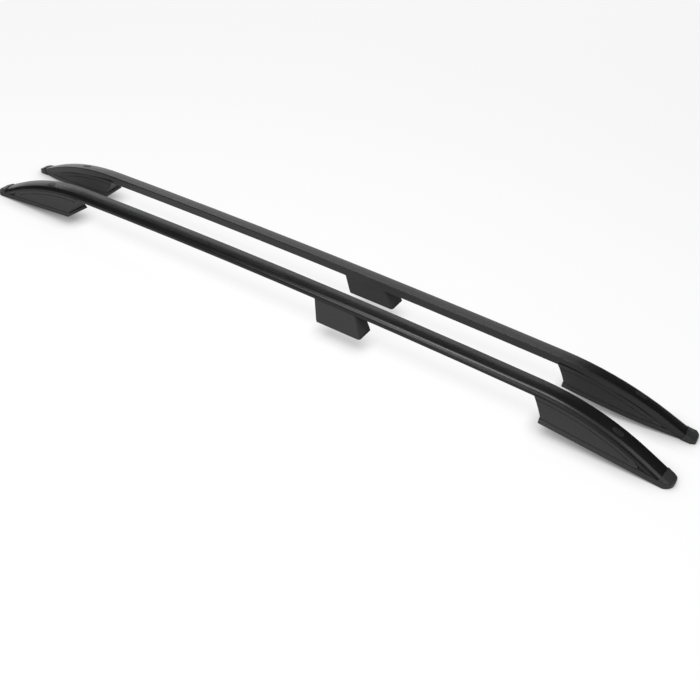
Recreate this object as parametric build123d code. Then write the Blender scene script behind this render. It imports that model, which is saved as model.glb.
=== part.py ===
from build123d import *
import os
from math import asin, atan, cos, degrees, radians, sin, tan

# A pair of roof side rails: two mirrored, arched bars, each on two long end feet and one centre foot.
# Millimetres. +X to the front end of the rails, +Y to the left rail, +Z up, ground at Z = 0.
# The left rail's front half is modelled. The rear end and the right rail are mirrored from it.

# The whole rail
RAIL_LENGTH = 2000.0
FOOT_LINE = 79.4  # from the middle of the pair to where a rail's leaning centre plane meets the ground
LEAN = 9.0  # degrees; the bases are cut for a roof that falls away sideways, so on a floor the rails lean in

# Bar: one closed aluminium extrusion, sharp along its inner top edge and rounded on its outer side
BAR_WIDTH = 39.2
BAR_INNER_HEIGHT = 23.5
BAR_OUTER_HEIGHT = 13.4
BAR_CROWN = 2.4
BAR_ROLL = 2.2  # degrees, how much less the section leans than the plane the bar is bent in
BAR_WALL = 2.2
BAR_OUTER_TOP_RADIUS = 13.5
BAR_OUTER_BOTTOM_RADIUS = 2.4
BAR_INNER_TOP_RADIUS = 1.6
BAR_INNER_BOTTOM_RADIUS = 1.2
ARCH_RADIUS = 23250.0
BEND_RADIUS = 622.0
BEND_RUN = 323.0  # from the nose tip back to where the end bend starts
END_SLOPE = 25.0  # degrees, how steeply the bar runs down into the nose
NOSE_COVER = 35.0  # from the nose tip back to where the bar ends
BAR_END_RISE = 0.3  # bar's underside line above the ground where the bar ends, before it is cut off level

# End feet: a moulded sole with a nose cap, and a hollow cover that carries the bar in a saddle
FOOT_LENGTH = 297.0
FOOT_BASE_RISE = 28.5  # the sole climbs with the roof's curve, so its inner end stands clear of a flat floor
NOSE_FLAT = 15.0
FOOT_OUTER_REACH = 24.3  # base edge outside the foot line
FOOT_INNER_REACH = 42.8  # base edge inside the foot line, at the inner end
FOOT_INNER_TAPER = 30.0  # how far the inner base edge comes in by the nose
FOOT_END_RAKE = 30.0  # degrees, overhang of the inner end
FOOT_END_SKEW = 5.0  # degrees, the inner end reaches further to the middle on its inner side
FLANK_HOLLOW = 0.06  # how deep the flanks are hollowed, as a share of their height
SADDLE_LEDGE = 2.0
SADDLE_LIP = 4.0
LIP_LINE_DROP = 3.5  # a moulded line in the flanks, this far under the bar, sets off the lip along it
LIP_LINE = 1.8
LIP_LINE_DEPTH = 1.2
COVER_WALL = 3.0
COVER_INSET = 0.4
COVER_NOSE = 77.0  # from the nose tip back to the front end of the cover
COVER_NOSE_RADIUS = 7.0
FOOT_CORNER_RADIUS = 1.6
SOLE_RIM = 9.0
SOLE_FLOOR = 3.5
SOLE_RIM_WIDTH = 7.0
SOLE_OVERHANG = 1.5
SHADOW_GAP = 1.6
SHADOW_DEPTH = 2.0
WEDGE_SETBACK = 6.0  # ahead of the cover the sole stands back above its rim, in the bar's shade
NOSE_ROUND = 30.0
NOSE_INNER_RADIUS = 6.0
NOSE_EDGE_RADIUS = 8.0
NOSE_LIP = 4.0
CAP_PROUD = 1.4
SPIGOT_LENGTH = 22.0

# Centre foot: a raked, hollow moulding on a rubber pad
CENTRE_X = 186.5
CENTRE_LENGTH = 124.0
CENTRE_HEIGHT = 48.5
CENTRE_REAR_RAKE = 18.0  # degrees
CENTRE_FRONT_RAKE = 27.0  # degrees
CENTRE_OUTER_REACH = 21.0
CENTRE_INNER_REACH = 32.0
CENTRE_TOP_INSET = 0.4
CENTRE_FRONT_RADIUS = 7.0
CENTRE_REAR_RADIUS = 2.5
CENTRE_WALL = 3.0
PAD_THICKNESS = 4.0
PAD_INSET = 0.5

# Fixings: roof bolts come down through the plug holes; supports carry the clamp load past the mouldings
FRONT_BOLT_SETBACK = 138.0  # from the nose tip
REAR_BOLT_SETBACK = 207.5
ROOF_BOLT_HOLE = 6.6
SUPPORT_LENGTH = 58.0
SUPPORT_WIDTH = 26.0
CENTRE_THREAD_HOLE = 5.0
CENTRE_THREAD_DEPTH = 18.0
SCREW_SPACING = 38.0
SCREW_SHANK = 5.0
SCREW_HEAD = 8.5
SCREW_HEAD_HEIGHT = 5.0
SCREW_RECESS = 8.0
SCREW_PROTRUSION = 3.0
SCREW_SOCKET = 4.0
SCREW_SOCKET_DEPTH = 2.5
PLUG_LENGTH = 27.0
PLUG_WIDTH = 11.0
PLUG_PROUD = 0.8
PLUG_EDGE_RADIUS = 0.6
PLUG_DEPTH = 5.0
PLUG_LIP = 1.0
FIT_CLEARANCE = 0.2
SCREW_CLEARANCE = 0.05

# Worked out from the sizes above
NOSE_X = RAIL_LENGTH / 2
BAR_END_X = NOSE_X - NOSE_COVER
BEND_X = NOSE_X - BEND_RUN
FOOT_INNER_X = NOSE_X - FOOT_LENGTH
COVER_NOSE_X = NOSE_X - COVER_NOSE
FLAT_X = NOSE_X - NOSE_FLAT
BASE_GRADE = FOOT_BASE_RISE / (FOOT_LENGTH - NOSE_FLAT)
LEAN_SIN = sin(radians(LEAN))
LEAN_COS = cos(radians(LEAN))
ROLL_SIN = sin(radians(BAR_ROLL))
ROLL_COS = cos(radians(BAR_ROLL))
ARCH_ANGLE = asin(BEND_X / ARCH_RADIUS)
END_ANGLE = radians(END_SLOPE)
BEND_END_X = BEND_X + BEND_RADIUS * (sin(END_ANGLE) - sin(ARCH_ANGLE))
BEND_DROP = BEND_RADIUS * (cos(ARCH_ANGLE) - cos(END_ANGLE))
BEND_RISE = BAR_END_RISE + (BAR_END_X - BEND_END_X) * tan(END_ANGLE) + BEND_DROP
BAR_RISE = BEND_RISE + ARCH_RADIUS * (1 - cos(ARCH_ANGLE))
REACH = 150.0  # more than any piece is wide or high, for cutting solids

LEAN_PLANE = Plane(origin=(0, FOOT_LINE, 0), x_dir=(1, 0, 0), z_dir=(0, -LEAN_COS, -LEAN_SIN))


def bar_line(x):
    """Height of the bar's underside in the leaning plane at x, and its slope angle there."""
    if x <= BEND_X:
        slope = asin(x / ARCH_RADIUS)
        return BAR_RISE - ARCH_RADIUS * (1 - cos(slope)), slope
    if x <= BEND_END_X:
        slope = asin(sin(ARCH_ANGLE) + (x - BEND_X) / BEND_RADIUS)
        return BEND_RISE - BEND_RADIUS * (cos(ARCH_ANGLE) - cos(slope)), slope
    return BAR_END_RISE + (BAR_END_X - x) * tan(END_ANGLE), END_ANGLE


def bar_axes(slope):
    """Directions at a place where the bar slopes down by this angle: along it, across it outwards and up."""
    along = Vector(cos(slope), LEAN_SIN * sin(slope), -LEAN_COS * sin(slope))
    out = Vector(0, LEAN_COS, LEAN_SIN)
    rise = Vector(sin(slope), -LEAN_SIN * cos(slope), LEAN_COS * cos(slope))
    return along, out * ROLL_COS - rise * ROLL_SIN, out * ROLL_SIN + rise * ROLL_COS


def lean_point(across, height):
    """Y and Z of a point across a level stretch of bar (outwards) whose underside is at this height."""
    inner = BAR_WIDTH / 2
    y = FOOT_LINE - inner * LEAN_COS - height * LEAN_SIN
    z = height * LEAN_COS - inner * LEAN_SIN
    direction = bar_axes(0)[1]
    return y + (across + inner) * direction.Y, z + (across + inner) * direction.Z


def underside_z(x):
    """Height of the middle of the bar's underside above the ground."""
    return lean_point(0, bar_line(x)[0])[1]


def base_z(x):
    """Height of an end foot's base above the ground."""
    return BASE_GRADE * max(FLAT_X - x, 0)


def bolt_y(x):
    """Y of a vertical bolt that passes the middle of the bar at x."""
    return lean_point(0, bar_line(x)[0] + (BAR_INNER_HEIGHT + BAR_OUTER_HEIGHT) / 4)[0]


def bar_path(end_x):
    """Front half of the line that the bar's section follows: arch, end bend, straight run down to end_x."""
    arch = JernArc((0, BAR_RISE), (1, 0), ARCH_RADIUS, -degrees(ARCH_ANGLE))
    bend = JernArc(arch @ 1, arch % 1, BEND_RADIUS, -degrees(END_ANGLE - ARCH_ANGLE))
    run = Line(bend @ 1, bend @ 1 + (bend % 1) * ((end_x - BEND_END_X) / cos(END_ANGLE)))
    return Wire([LEAN_PLANE * arch, LEAN_PLANE * bend, LEAN_PLANE * run])


def section_plane(x):
    """Plane square to the bar at x: its X is outwards and its Y is up."""
    height, slope = bar_line(x)
    along, across, rise = bar_axes(slope)
    inner = Vector(x, FOOT_LINE - height * LEAN_SIN, height * LEAN_COS)
    inner = inner - Vector(0, LEAN_COS, LEAN_SIN) * (BAR_WIDTH / 2)
    return Plane(origin=inner + across * (BAR_WIDTH / 2), x_dir=across, z_dir=along)


def bar_section(grow=0.0):
    """Closed outline of the bar, flat inside, crowned on top and rounded outside; grow moves it outwards."""
    half = BAR_WIDTH / 2 + grow
    fall = (BAR_INNER_HEIGHT - BAR_OUTER_HEIGHT) / BAR_WIDTH
    middle = (BAR_INNER_HEIGHT + BAR_OUTER_HEIGHT) / 2 + grow / cos(atan(fall))
    low_outer = (half, -grow)
    high_outer = (half, middle - half * fall)
    high_inner = (-half, middle + half * fall)
    low_inner = (-half, -grow)
    outline = [
        Line(low_inner, low_outer),
        Line(low_outer, high_outer),
        ThreePointArc(high_outer, (0, middle + BAR_CROWN), high_inner),
        Line(high_inner, low_inner),
    ]
    corners = [
        (high_outer, BAR_OUTER_TOP_RADIUS),
        (low_outer, BAR_OUTER_BOTTOM_RADIUS),
        (high_inner, BAR_INNER_TOP_RADIUS),
        (low_inner, BAR_INNER_BOTTOM_RADIUS),
    ]
    face = make_face(outline)
    for corner, radius in corners:
        face = fillet(face.vertices().sort_by_distance(corner)[0], max(radius + grow, 0.3))
    return face


def bar_run(grow, end_x):
    """Front half of the bar as a solid length of its outline, out to end_x."""
    return sweep(section_plane(0) * bar_section(grow), path=bar_path(end_x))


def nose_run(grow, start_x, end_x):
    """A straight length of the bar's outline between two places on its run down to the nose."""
    length = (end_x - start_x) / cos(END_ANGLE)
    return extrude(section_plane(start_x) * bar_section(grow), length)


def side_prism(outline):
    """Solid with this outline seen from the side (X, Z), wider than a rail."""
    return extrude(Plane.XZ * make_face(outline), REACH, both=True)


def side_block(*points):
    """The same with straight edges through the points."""
    return side_prism(Polyline(*points, close=True))


def below_base(raise_by=0.0):
    """Everything under an end foot's base, or under a surface that much higher."""
    inner = FOOT_INNER_X - REACH
    outer = NOSE_X + REACH
    line = [(inner, base_z(inner) + raise_by), (FLAT_X, raise_by), (outer, raise_by)]
    return side_block(*line, (outer, -REACH), (inner, -REACH))


def above_bar_line(lift):
    """Everything over a surface parallel to the bar's underside, lift above it."""
    wide = Rectangle(2 * REACH, REACH, align=(Align.CENTER, Align.MIN))
    return sweep(section_plane(0) * Pos(0, lift) * wide, path=bar_path(NOSE_X + REACH))


def inside_of(x, rake=0.0, z=0.0):
    """Everything towards the middle from a plane through (x, z) that overhangs by the rake angle."""
    lean = tan(radians(rake))
    top = (x - (REACH - z) * lean, REACH)
    bottom = (x + (REACH + z) * lean, -REACH)
    back = x - 4 * REACH
    return skewed(x) * side_block(top, bottom, (back, -REACH), (back, REACH))


def skewed(x):
    """Turn of an end foot's inner end about its outer corner at x."""
    corner = FOOT_LINE + FOOT_OUTER_REACH
    return Pos(x, corner) * Rot(0, 0, -FOOT_END_SKEW) * Pos(-x, -corner)


def flank_base(x, side):
    """Y where one flank of an end foot meets its base."""
    if side > 0:
        return FOOT_LINE + FOOT_OUTER_REACH
    run = max(x - FOOT_INNER_X, 0) / FOOT_LENGTH
    return FOOT_LINE - FOOT_INNER_REACH + FOOT_INNER_TAPER * run ** 2.2


def flank_y(x, side, z):
    """Y of one flank of an end foot at height z: it leans in to the bar and is hollow on the way."""
    lean_x = min(x, COVER_NOSE_X - BAR_WIDTH / 2)
    height, slope = bar_line(lean_x)
    top_y, top_z = lean_point(side * (BAR_WIDTH / 2 + SADDLE_LEDGE), height + SADDLE_LIP / cos(slope))
    rise = top_z - base_z(lean_x)
    share = (z - base_z(x)) / rise
    lean_in = (top_y - flank_base(lean_x, side)) * share
    return flank_base(x, side) + lean_in - side * FLANK_HOLLOW * rise * 4 * share * (1 - share)


def foot_body(inset):
    """Flanks of an end foot from past its inner end to past its nose, all moved in by inset."""
    sections = []
    for part in (-0.17, 0.13, 0.4, 0.66, 0.85, 1.02):
        x = FOOT_INNER_X + part * FOOT_LENGTH
        low = base_z(x) - SOLE_FLOOR
        high = max(underside_z(x) + 2 * BAR_OUTER_HEIGHT, base_z(x) + BAR_INNER_HEIGHT)
        outer = [(flank_y(x, 1, z) - inset, z) for z in (low, (low + high) / 2, high)]
        inner = [(flank_y(x, -1, z) + inset, z) for z in (high, (low + high) / 2, low)]
        outline = [
            ThreePointArc(*outer),
            Line(outer[2], inner[0]),
            ThreePointArc(*inner),
            Line(inner[2], outer[0]),
        ]
        plane = Plane(origin=(x, 0, 0), x_dir=(0, 1, 0), z_dir=(1, 0, 0))
        sections.append(plane * make_face(outline))
    return loft(sections)


def nose_plan():
    """Everything inside the rounded outline of the nose, seen from above."""
    tip_y = FOOT_LINE
    wide = FOOT_OUTER_REACH + SADDLE_LEDGE
    inner_y = FOOT_LINE - BAR_WIDTH / 2 + SADDLE_LIP
    back = FOOT_INNER_X - REACH
    outline = [
        EllipticalCenterArc((NOSE_X - NOSE_ROUND, tip_y), NOSE_ROUND, wide, start_angle=0, arc_size=90),
        Line((NOSE_X - NOSE_ROUND, tip_y + wide), (back, tip_y + wide)),
        Line((back, tip_y + wide), (back, inner_y - NOSE_ROUND)),
        Line((back, inner_y - NOSE_ROUND), (NOSE_X - 2 * NOSE_ROUND, inner_y - NOSE_ROUND)),
        Line((NOSE_X - 2 * NOSE_ROUND, inner_y - NOSE_ROUND), (NOSE_X, inner_y)),
        Line((NOSE_X, inner_y), (NOSE_X, tip_y)),
    ]
    face = make_face(outline)
    face = fillet(face.vertices().sort_by_distance((NOSE_X, inner_y))[0], NOSE_INNER_RADIUS)
    return extrude(Pos(0, 0, -REACH) * face, 2 * REACH)


def nose_side():
    """Everything behind the nose's rounded front edge, seen from the side."""
    square = section_plane(BAR_END_X)
    ridge = square.from_local_coords((-BAR_WIDTH / 2, BAR_INNER_HEIGHT + 2 * CAP_PROUD, 0))
    tip_z = ridge.Z - (NOSE_X - ridge.X) * tan(END_ANGLE) * LEAN_COS
    turn = 90 - END_SLOPE
    start = (NOSE_X, tip_z - NOSE_EDGE_RADIUS * tan(radians(turn / 2)))
    edge = JernArc(start, (0, 1), NOSE_EDGE_RADIUS, turn)
    top = edge @ 1 + (edge % 1) * 3 * REACH
    outline = [
        Line((NOSE_X, -REACH), start),
        edge,
        Line(edge @ 1, top),
        Line(top, (top.X, -REACH)),
        Line((top.X, -REACH), (NOSE_X, -REACH)),
    ]
    return side_prism(outline)


def cover_front(trim=0.0):
    """Everything ahead of the cover's front end, which is rounded over where it meets the bar."""
    x = COVER_NOSE_X - trim
    height, slope = bar_line(x)
    z = lean_point(BAR_WIDTH / 2, height + SADDLE_LIP / cos(slope))[1]
    radius = COVER_NOSE_RADIUS
    outline = [
        Line((x, -REACH), (x, z - radius)),
        RadiusArc((x, z - radius), (x - radius, z), -radius),
        Line((x - radius, z), (x - radius, REACH)),
        Line((x - radius, REACH), (NOSE_X + REACH, REACH)),
        Line((NOSE_X + REACH, REACH), (NOSE_X + REACH, -REACH)),
        Line((NOSE_X + REACH, -REACH), (x, -REACH)),
    ]
    return side_prism(outline)


def upright(x, y, radius, low, high):
    """Upright cylinder between two heights."""
    return Pos(x, y, low) * Cylinder(radius, high - low, align=(Align.CENTER, Align.CENTER, Align.MIN))


def block(x, y, length, width, low, high):
    """Upright block between two heights."""
    return Pos(x, y, low) * Box(length, width, high - low, align=(Align.CENTER, Align.CENTER, Align.MIN))


def end_edges(solid, x, rake, z, tall):
    """Edges on a foot's inner end plane through (x, z) that run up it for at least this height."""
    lean = tan(radians(rake))
    found = []
    for edge in solid.edges():
        ends = [(skewed(x).inverse() * Pos(*(edge @ t))).position for t in (0, 1)]
        off = [abs(end.X - (x - (end.Z - z) * lean)) for end in ends]
        if max(off) < 0.01 and abs(ends[0].Z - ends[1].Z) > tall:
            found.append(edge)
    return found


def plug_plane(bolt_x):
    """Plane on the bar's top over a bolt, with X along the bar."""
    middle = (BAR_INNER_HEIGHT + BAR_OUTER_HEIGHT) / 2 + BAR_CROWN
    square = section_plane(bolt_x - middle * sin(bar_line(bolt_x)[1]))
    fall = atan((BAR_INNER_HEIGHT - BAR_OUTER_HEIGHT) / BAR_WIDTH)
    normal = square.x_dir * sin(fall) + square.y_dir * cos(fall)
    return Plane(origin=square.origin + square.y_dir * middle, x_dir=square.z_dir, z_dir=normal)


def stadium(x, grow, low, high):
    """Stadium in the bar's top at x between two heights measured from the top."""
    outline = SlotOverall(PLUG_LENGTH + 2 * grow, PLUG_WIDTH + 2 * grow)
    return extrude(plug_plane(x) * Pos(0, 0, low) * outline, high - low)


def screw_places(x):
    """X of the two screws beside a bolt."""
    return [x - SCREW_SPACING / 2, x + SCREW_SPACING / 2]


def screw(x, y, seat, top):
    """Socket head screw from below: head under the seat, shank up to top."""
    head = upright(x, y, SCREW_HEAD / 2, seat - SCREW_HEAD_HEIGHT, seat)
    shank = upright(x, y, SCREW_SHANK / 2, seat, top)
    hexagon = Pos(x, y, seat - SCREW_HEAD_HEIGHT) * RegularPolygon(SCREW_SOCKET / 2, 6, major_radius=False)
    return head + shank - extrude(hexagon, SCREW_SOCKET_DEPTH)


def screw_ways(x, y, seat, top):
    """Room for that screw: a recess for the head and a hole for the shank."""
    head = upright(x, y, SCREW_HEAD / 2 + FIT_CLEARANCE, -REACH, seat)
    return head + upright(x, y, SCREW_SHANK / 2 + SCREW_CLEARANCE, seat, top)


def screw_top(x):
    """Height where a screw ends, inside the bar."""
    return underside_z(x) + BAR_WALL / cos(bar_line(x)[1]) + SCREW_PROTRUSION


def end_seat(x):
    """Height of a screw's seat in an end support."""
    return base_z(x) + SCREW_RECESS


# Bar, front half: hollow, its end cut off level above the sole's floor
bar_envelope = bar_run(0, BAR_END_X) - below_base(SOLE_FLOOR)
bar_hollow = bar_run(-BAR_WALL, BAR_END_X)


def bar_openings(bolt_x):
    """Holes for one end foot: the plug hole, the roof bolt's hole under it and the screw holes."""
    y = bolt_y(bolt_x)
    ways = stadium(bolt_x, FIT_CLEARANCE, -3 * BAR_WALL, 3 * BAR_WALL)
    ways += upright(bolt_x, y, ROOF_BOLT_HOLE / 2, 0, underside_z(bolt_x) + 2 * BAR_WALL)
    for x in screw_places(bolt_x):
        ways += upright(x, y, SCREW_SHANK / 2 + SCREW_CLEARANCE, 0, screw_top(x))
    return ways


def end_foot(bolt_x):
    """All pieces of one end foot except the bar, at the front end."""
    y = bolt_y(bolt_x)
    rim_top = SOLE_RIM + SHADOW_GAP
    end_z = base_z(FOOT_INNER_X) + rim_top
    lip_cut = above_bar_line(SADDLE_LIP)
    saddle_cut = above_bar_line(-COVER_WALL)
    sole_end_x = FOOT_INNER_X - SOLE_OVERHANG
    window = block(
        bolt_x, y, SUPPORT_LENGTH + 2 * FIT_CLEARANCE, SUPPORT_WIDTH + 2 * FIT_CLEARANCE, -REACH, REACH
    )

    # Cover: flanks with a line under the lip, raked inner end, saddle that follows the bar, hollow below
    cover = foot_body(COVER_INSET) - inside_of(FOOT_INNER_X, FOOT_END_RAKE, end_z)
    cover = fillet(end_edges(cover, FOOT_INNER_X, FOOT_END_RAKE, end_z, SOLE_RIM), FOOT_CORNER_RADIUS)
    cover = cover - cover_front() - below_base(rim_top) - lip_cut - bar_envelope
    lip_line = above_bar_line(-LIP_LINE_DROP - LIP_LINE) - above_bar_line(-LIP_LINE_DROP)
    lip_line = lip_line - cover_front(3 * COVER_NOSE_RADIUS)
    cover = cover - (lip_line - foot_body(COVER_INSET + LIP_LINE_DEPTH))
    cavity = foot_body(COVER_INSET + COVER_WALL) - saddle_cut
    end_wall = COVER_WALL / cos(radians(FOOT_END_RAKE))
    cavity = cavity - inside_of(FOOT_INNER_X + end_wall, FOOT_END_RAKE, end_z) - cover_front(COVER_WALL)
    cover = cover - cavity
    cover = cover - upright(bolt_x, y, ROOF_BOLT_HOLE / 2 + FIT_CLEARANCE, 0, REACH)
    for x in screw_places(bolt_x):
        cover = cover - upright(x, y, SCREW_SHANK / 2 + FIT_CLEARANCE, 0, REACH)

    # Sole: rim, floor and plinth, wedge under the bar and nose cap with its spigot, all one moulding
    body = foot_body(0)
    rim = (body & below_base(SOLE_RIM)) - inside_of(sole_end_x)
    rim = fillet(end_edges(rim, sole_end_x, 0, 0, SOLE_RIM), FOOT_CORNER_RADIUS)
    plinth = (foot_body(SHADOW_DEPTH) & below_base(rim_top)) - below_base(SOLE_FLOOR)
    plinth = plinth - inside_of(FOOT_INNER_X + SHADOW_DEPTH) - cover_front(-SHADOW_DEPTH)
    room = foot_body(SOLE_RIM_WIDTH) - below_base(SOLE_FLOOR)
    room = room - inside_of(sole_end_x + SOLE_RIM_WIDTH) - cover_front(COVER_WALL)
    wedge = (foot_body(WEDGE_SETBACK) & cover_front()) - lip_cut
    lip = body & cover_front() & below_base(NOSE_LIP)
    cap = nose_run(CAP_PROUD, BAR_END_X, NOSE_X + BAR_WIDTH)
    spigot = nose_run(-BAR_WALL - FIT_CLEARANCE, BAR_END_X - SPIGOT_LENGTH, BAR_END_X + 1)
    sole = rim + plinth - room + wedge + lip + cap - bar_envelope + (spigot - below_base(SOLE_FLOOR))
    sole = (sole & nose_plan() & nose_side()) - below_base() - window

    # Support: block flush with the base, up to the saddle, bored for the roof bolt
    support = block(bolt_x, y, SUPPORT_LENGTH, SUPPORT_WIDTH, -REACH / 2, REACH) - below_base() - saddle_cut
    support = support - upright(bolt_x, y, ROOF_BOLT_HOLE / 2, -REACH, REACH)
    screws = []
    for x in screw_places(bolt_x):
        support = support - screw_ways(x, y, end_seat(x), REACH)
        screws.append(screw(x, y, end_seat(x), screw_top(x)))

    # Plug: pushed into the bar's top, held by a lip under the wall
    up = plug_plane(bolt_x)
    plug = stadium(bolt_x, 0, -PLUG_DEPTH, PLUG_PROUD)
    plug = fillet(plug.faces().sort_by(Axis(up.origin, up.z_dir))[-1].edges(), PLUG_EDGE_RADIUS)
    plug = plug + (stadium(bolt_x, PLUG_LIP, -PLUG_DEPTH, 0) & bar_hollow)

    return {"foot": cover, "sole": sole, "support": support, "screws": screws, "plug": plug}


def centre_body(inset, low, high):
    """Raked body of the centre foot between two heights, all its sides moved in by inset."""
    bar_z = underside_z(CENTRE_X)
    base = bar_z - CENTRE_HEIGHT
    height = bar_line(CENTRE_X)[0]
    sections = []
    for z in (low, high):
        rear = CENTRE_X - CENTRE_LENGTH / 2 - (z - base) * tan(radians(CENTRE_REAR_RAKE)) + inset
        front = CENTRE_X + CENTRE_LENGTH / 2 - (z - base) * tan(radians(CENTRE_FRONT_RAKE)) - inset
        sides = []
        for side, reach in ((-1, CENTRE_INNER_REACH), (1, CENTRE_OUTER_REACH)):
            top_y, top_z = lean_point(side * (BAR_WIDTH / 2 - CENTRE_TOP_INSET), height)
            base_y = FOOT_LINE + side * reach
            sides.append(base_y + (top_y - base_y) * (z - base) / (top_z - base) - side * inset)
        corners = [(rear, sides[0]), (rear, sides[1]), (front, sides[1]), (front, sides[0])]
        face = make_face(Polyline(*corners, close=True))
        radii = [CENTRE_REAR_RADIUS, CENTRE_REAR_RADIUS, CENTRE_FRONT_RADIUS, CENTRE_FRONT_RADIUS]
        for corner, radius in zip(corners, radii):
            face = fillet(face.vertices().sort_by_distance(corner)[0], max(radius - inset, 0.5))
        sections.append(Pos(0, 0, z) * face)
    return loft(sections, ruled=True)


def centre_foot():
    """All pieces of the centre foot."""
    base = underside_z(CENTRE_X) - CENTRE_HEIGHT
    seat = base + SCREW_RECESS
    rake = tan(radians(CENTRE_REAR_RAKE)) + tan(radians(CENTRE_FRONT_RAKE))
    bolt_x = CENTRE_X - CENTRE_HEIGHT * rake / 4
    y = bolt_y(bolt_x)
    top = base + 2 * CENTRE_HEIGHT
    saddle_cut = above_bar_line(-CENTRE_WALL)

    # Moulding: hollow from below, its top flush against the bar
    foot = centre_body(0, base + PAD_THICKNESS, top) - above_bar_line(0)
    foot = foot - (centre_body(CENTRE_WALL, base, top) - saddle_cut)

    # Pad: closes the moulding's underside around the support
    pad = centre_body(PAD_INSET, base, base + PAD_THICKNESS)
    pad = pad - block(
        bolt_x, y, SUPPORT_LENGTH + 2 * FIT_CLEARANCE, SUPPORT_WIDTH + 2 * FIT_CLEARANCE, 0, REACH
    )

    # Support: block from the pad's underside to the saddle, threaded from below
    support = block(bolt_x, y, SUPPORT_LENGTH, SUPPORT_WIDTH, base, REACH) - saddle_cut
    support = support - upright(bolt_x, y, CENTRE_THREAD_HOLE / 2, 0, base + CENTRE_THREAD_DEPTH)
    screws = []
    ways = []
    for x in screw_places(bolt_x):
        support = support - screw_ways(x, y, seat, REACH)
        foot = foot - upright(x, y, SCREW_SHANK / 2 + FIT_CLEARANCE, 0, REACH)
        ways.append(upright(x, y, SCREW_SHANK / 2 + SCREW_CLEARANCE, 0, screw_top(x)))
        screws.append(screw(x, y, seat, screw_top(x)))
    return {"foot": foot, "pad": pad, "support": support, "screws": screws}, ways


FRONT_BOLT_X = NOSE_X - FRONT_BOLT_SETBACK
REAR_BOLT_X = NOSE_X - REAR_BOLT_SETBACK

half_bar = bar_envelope - bar_hollow
centre, centre_ways = centre_foot()
front_half = half_bar - bar_openings(FRONT_BOLT_X)
for way in centre_ways:
    front_half = front_half - way
rear_half = mirror(half_bar - bar_openings(REAR_BOLT_X), about=Plane.YZ)

left = {"rail_bar": front_half + rear_half}
for name, piece in end_foot(FRONT_BOLT_X).items():
    left["front_" + name] = piece
for name, piece in end_foot(REAR_BOLT_X).items():
    items = piece if isinstance(piece, list) else [piece]
    left["rear_" + name] = [mirror(item, about=Plane.YZ) for item in items]
for name, piece in centre.items():
    left["centre_" + name] = piece

os.makedirs("parts", exist_ok=True)
for name, piece in left.items():
    items = piece if isinstance(piece, list) else [piece]
    solids = [solid for item in items for solid in item.solids()]
    export_step(Compound(label="left_" + name, children=solids), "parts/left_" + name + ".step")
    flipped = [mirror(solid, about=Plane.XZ) for solid in solids]
    export_step(Compound(label="right_" + name, children=flipped), "parts/right_" + name + ".step")
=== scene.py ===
import math

import bpy
from mathutils import Matrix, Vector

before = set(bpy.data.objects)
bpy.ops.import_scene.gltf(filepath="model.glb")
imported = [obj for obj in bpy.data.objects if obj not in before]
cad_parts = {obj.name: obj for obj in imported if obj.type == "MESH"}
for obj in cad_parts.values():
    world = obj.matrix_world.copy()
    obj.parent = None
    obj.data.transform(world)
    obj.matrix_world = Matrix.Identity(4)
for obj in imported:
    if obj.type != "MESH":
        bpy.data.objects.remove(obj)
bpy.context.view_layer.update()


# Rail bars
# Each bar is a hollow aluminium extrusion, arched along the roof and bent down at both ends.
# It is blasted and powder coated satin black, which leaves a fine orange peel in the coat.
noise_low = 0.3  # nearly all of a noise pattern lies between these two values
noise_high = 0.7


def blank_finish(name):
    finish = bpy.data.materials.new(name)
    finish.use_nodes = True
    tree = finish.node_tree
    return finish, tree, tree.nodes["Principled BSDF"]


def grain(tree, per_metre, detail):
    """A noise pattern that is fixed to the piece, with about so many grains per metre."""
    place = tree.nodes.new("ShaderNodeTexCoord")
    noise = tree.nodes.new("ShaderNodeTexNoise")
    noise.inputs["Scale"].default_value = per_metre
    noise.inputs["Detail"].default_value = detail
    tree.links.new(place.outputs["Object"], noise.inputs["Vector"])
    return noise.outputs["Fac"]


def tint(tree, shader, pattern, dark, light):
    """Base colour that wanders between two shades with the pattern."""
    ramp = tree.nodes.new("ShaderNodeValToRGB")
    ramp.color_ramp.elements[0].position = noise_low
    ramp.color_ramp.elements[0].color = (*dark, 1)
    ramp.color_ramp.elements[1].position = noise_high
    ramp.color_ramp.elements[1].color = (*light, 1)
    tree.links.new(pattern, ramp.inputs["Fac"])
    tree.links.new(ramp.outputs["Color"], shader.inputs["Base Color"])


def gloss(tree, shader, pattern, smooth, rough):
    """Roughness that wanders between two values with the pattern."""
    spread = tree.nodes.new("ShaderNodeMapRange")
    spread.inputs["From Min"].default_value = noise_low
    spread.inputs["From Max"].default_value = noise_high
    spread.inputs["To Min"].default_value = smooth
    spread.inputs["To Max"].default_value = rough
    tree.links.new(pattern, spread.inputs["Value"])
    tree.links.new(spread.outputs["Result"], shader.inputs["Roughness"])


def relief(tree, shader, pattern, depth, strength):
    """Fine relief in the surface; depth is in metres."""
    bump = tree.nodes.new("ShaderNodeBump")
    bump.inputs["Strength"].default_value = strength
    bump.inputs["Distance"].default_value = depth
    tree.links.new(pattern, bump.inputs["Height"])
    tree.links.new(bump.outputs["Normal"], shader.inputs["Normal"])


def dress(finish, *nodes):
    """Gives the named pieces of both rails this finish."""
    for side in ("left_", "right_"):
        for node in nodes:
            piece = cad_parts[side + node]
            piece.data.materials.clear()
            piece.data.materials.append(finish)


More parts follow.
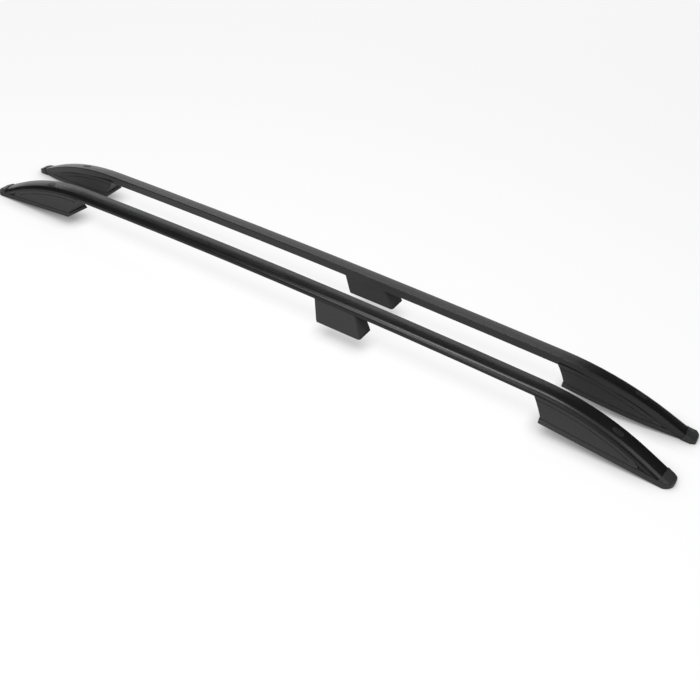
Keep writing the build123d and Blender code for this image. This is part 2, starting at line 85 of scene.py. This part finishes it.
powder_coat, tree, shader = blank_finish("satin_black_powder_coat")
specks = grain(tree, per_metre=900, detail=2)
tint(tree, shader, specks, dark=(0.0035, 0.0035, 0.0036), light=(0.006, 0.006, 0.0062))
shader.inputs["Specular IOR Level"].default_value = 0.33
gloss(tree, shader, grain(tree, per_metre=16, detail=3), smooth=0.27, rough=0.33)
relief(tree, shader, grain(tree, per_metre=520, detail=3), depth=0.0002, strength=0.12)
dress(powder_coat, "rail_bar")


# Supports
# Die-cast aluminium blocks inside the feet that carry the clamp load to the roof.
# They are left as cast, with the skin of the die on them.
die_cast, tree, shader = blank_finish("die_cast_aluminium")
shader.inputs["Metallic"].default_value = 1
clouds = grain(tree, per_metre=120, detail=5)
tint(tree, shader, clouds, dark=(0.50, 0.50, 0.51), light=(0.64, 0.64, 0.64))
gloss(tree, shader, grain(tree, per_metre=260, detail=4), smooth=0.38, rough=0.58)
relief(tree, shader, grain(tree, per_metre=900, detail=4), depth=0.0003, strength=0.3)
dress(die_cast, "front_support", "rear_support", "centre_support")


# End feet
# Hollow covers under the bent ends of the bar, injection moulded in black nylon.
# The mould's spark-eroded texture leaves them matt, a shade lighter than the bar.
foot_nylon, tree, shader = blank_finish("textured_black_nylon")
specks = grain(tree, per_metre=1500, detail=3)
tint(tree, shader, specks, dark=(0.024, 0.024, 0.0245), light=(0.039, 0.039, 0.0397))
shader.inputs["Specular IOR Level"].default_value = 0.12
gloss(tree, shader, grain(tree, per_metre=40, detail=3), smooth=0.38, rough=0.46)
relief(tree, shader, grain(tree, per_metre=1700, detail=3), depth=0.0002, strength=0.25)
dress(foot_nylon, "front_foot", "rear_foot")


# Centre feet
# Raked hollow covers under the bar ahead of its middle, moulded in the same nylon.
# They sit over the centre supports and the bar rests in their open tops.
dress(foot_nylon, "centre_foot")


# Screws
# Socket head screws in zinc plated steel, two in each foot, driven up from below.
zinc_plate, tree, shader = blank_finish("zinc_plated_steel")
shader.inputs["Metallic"].default_value = 1
clouds = grain(tree, per_metre=300, detail=3)
tint(tree, shader, clouds, dark=(0.46, 0.47, 0.48), light=(0.60, 0.61, 0.60))
gloss(tree, shader, grain(tree, per_metre=800, detail=2), smooth=0.24, rough=0.36)
dress(zinc_plate, "front_screws", "rear_screws", "centre_screws")


# Soles
# Strips under the end feet, in one moulding with the nose cap that closes the bar.
# The same nylon from a finer mould, so the cap has a little more sheen.
sole_nylon, tree, shader = blank_finish("fine_black_nylon")
specks = grain(tree, per_metre=1500, detail=3)
tint(tree, shader, specks, dark=(0.021, 0.021, 0.0214), light=(0.034, 0.034, 0.0347))
shader.inputs["Specular IOR Level"].default_value = 0.17
gloss(tree, shader, grain(tree, per_metre=40, detail=3), smooth=0.34, rough=0.42)
relief(tree, shader, grain(tree, per_metre=1900, detail=3), depth=0.0002, strength=0.2)
dress(sole_nylon, "front_sole", "rear_sole")


# Plugs
# Oblong covers pressed into the top of the bar over the roof bolts, moulded in black nylon.
plug_nylon, tree, shader = blank_finish("smooth_black_nylon")
specks = grain(tree, per_metre=1200, detail=3)
tint(tree, shader, specks, dark=(0.006, 0.006, 0.0062), light=(0.010, 0.010, 0.0103))
gloss(tree, shader, grain(tree, per_metre=60, detail=3), smooth=0.40, rough=0.50)
relief(tree, shader, grain(tree, per_metre=1500, detail=3), depth=0.0002, strength=0.15)
dress(plug_nylon, "front_plug", "rear_plug")


# Centre pads
# Rubber pads moulded to the foot's outline, between the centre foot and the roof.
pad_rubber, tree, shader = blank_finish("black_rubber")
specks = grain(tree, per_metre=500, detail=4)
tint(tree, shader, specks, dark=(0.012, 0.012, 0.012), light=(0.022, 0.022, 0.022))
gloss(tree, shader, grain(tree, per_metre=90, detail=3), smooth=0.70, rough=0.85)
relief(tree, shader, grain(tree, per_metre=1100, detail=3), depth=0.0002, strength=0.3)
dress(pad_rubber, "centre_pad")


# Floor
# A plain white studio floor that fills the view and keeps the soft shadows of the rails.
# The camera and reflections see it nearly white, but for the contact shadows at the feet,
# which are painted shade: ambient occlusion darkens the white it glows there.
floor_white = 0.86  # share of white in what the camera and reflections see of the floor
painted_shade_reach = 0.048  # metres from a foot to where its contact shadow ends

bpy.ops.object.select_all(action="DESELECT")
bpy.ops.mesh.primitive_plane_add(size=24, location=(0, 3, 0))
floor = bpy.context.object
floor.name = "studio_floor"
white_floor, tree, shader = blank_finish("white_floor")
clouds = grain(tree, per_metre=0.7, detail=2)
tint(tree, shader, clouds, dark=(0.75, 0.75, 0.75), light=(0.77, 0.77, 0.77))
gloss(tree, shader, grain(tree, per_metre=3, detail=2), smooth=0.7, rough=0.8)
shader.inputs["Specular IOR Level"].default_value = 0.2

ray = tree.nodes.new("ShaderNodeLightPath")
seen = ray.outputs["Is Camera Ray"]
for kind in ("Is Glossy Ray", "Is Transmission Ray"):
    either = tree.nodes.new("ShaderNodeMath")
    either.operation = "MAXIMUM"
    tree.links.new(seen, either.inputs[0])
    tree.links.new(ray.outputs[kind], either.inputs[1])
    seen = either.outputs["Value"]
lift = tree.nodes.new("ShaderNodeMath")
lift.operation = "MULTIPLY"
lift.inputs[1].default_value = floor_white
tree.links.new(seen, lift.inputs[0])
# Painted contact shade: ambient occlusion darkens the floor's glowing white within this reach
# of the feet.
painted_contact_shade = tree.nodes.new("ShaderNodeAmbientOcclusion")
painted_contact_shade.samples = 16
painted_contact_shade.inputs["Distance"].default_value = painted_shade_reach
glow_with_painted_shade = tree.nodes.new("ShaderNodeEmission")
tree.links.new(painted_contact_shade.outputs["Color"], glow_with_painted_shade.inputs["Color"])
mix = tree.nodes.new("ShaderNodeMixShader")
tree.links.new(lift.outputs["Value"], mix.inputs["Fac"])
tree.links.new(shader.outputs["BSDF"], mix.inputs[1])
tree.links.new(glow_with_painted_shade.outputs["Emission"], mix.inputs[2])
tree.links.new(mix.outputs["Shader"], tree.nodes["Material Output"].inputs["Surface"])
floor.data.materials.append(white_floor)


# Light
# A softbox overhead draws the line along the bars' shoulders and one at the left fills it out.
# A wall and a strip over it light the tops from behind, and the others light the front feet.
room_light = 0.06


def softbox(name, place, aim, width, depth, power):
    """A rectangular lamp; sizes in metres and power in watts."""
    lamp = bpy.data.lights.new(name, "AREA")
    lamp.shape = "RECTANGLE"
    lamp.size = width
    lamp.size_y = depth
    lamp.energy = power
    box = bpy.data.objects.new(name, lamp)
    box.location = place
    box.rotation_euler = (Vector(aim) - Vector(place)).to_track_quat("-Z", "Y").to_euler()
    bpy.context.scene.collection.objects.link(box)


# The two that face down are aimed a hair towards +Y, so that their depth lies along Y.
softbox("overhead_softbox", (0, -0.8, 2.2), (0, -0.7999, 0), width=1.4, depth=1.0, power=47)
softbox("fill_softbox", (-0.8, -2.2, 1.8), (0, 0, 0.05), width=1.1, depth=1.1, power=28)
softbox("back_wall", (-4.35, 3.4, 1.5), (-4.35, 0, 1.5), width=9.3, depth=3.0, power=98)
softbox("back_softbox", (-4.35, 3.4, 3.5), (-4.35, 0, 3.5), width=9.3, depth=0.9, power=92)
softbox("front_softbox", (2.35, -1.0, 2.1), (0.9, -1.0, 0.05), width=2.8, depth=1.0, power=25)
softbox("side_softbox", (1.0, -1.4, 2.2), (1.0, -1.3999, 0), width=1.6, depth=2.8, power=11)
softbox("edge_softbox", (0.1, -2.6, 0.7), (0.3, -0.1, 0.1), width=0.8, depth=0.8, power=9)

room = bpy.data.worlds.new("dim_room")
room.use_nodes = True
backdrop = room.node_tree.nodes["Background"]
backdrop.inputs["Color"].default_value = (room_light, room_light, room_light, 1)
bpy.context.scene.world = room
bpy.context.scene.view_settings.view_transform = "Standard"


# Camera
# It stands ahead of and outside the right rail and looks down on the pair.
photo_width = 700  # pixels
focal_length = 913.6  # pixels
camera_place = (1.0947, -1.5343, 1.3579)
camera_turn = 31.269  # degrees, from +Y towards -X
camera_dip = 39.032  # degrees below level
camera_roll = 3.005  # degrees

lens = bpy.data.cameras.new("photo_camera")
lens.sensor_width = 36
lens.lens = focal_length / photo_width * lens.sensor_width
camera = bpy.data.objects.new("photo_camera", lens)
turn = Matrix.Rotation(math.radians(camera_turn), 4, "Z")
tilt = Matrix.Rotation(math.radians(90 - camera_dip), 4, "X")
roll = Matrix.Rotation(math.radians(camera_roll), 4, "Z")
camera.matrix_world = Matrix.Translation(camera_place) @ turn @ tilt @ roll
bpy.context.scene.collection.objects.link(camera)
bpy.context.scene.camera = camera
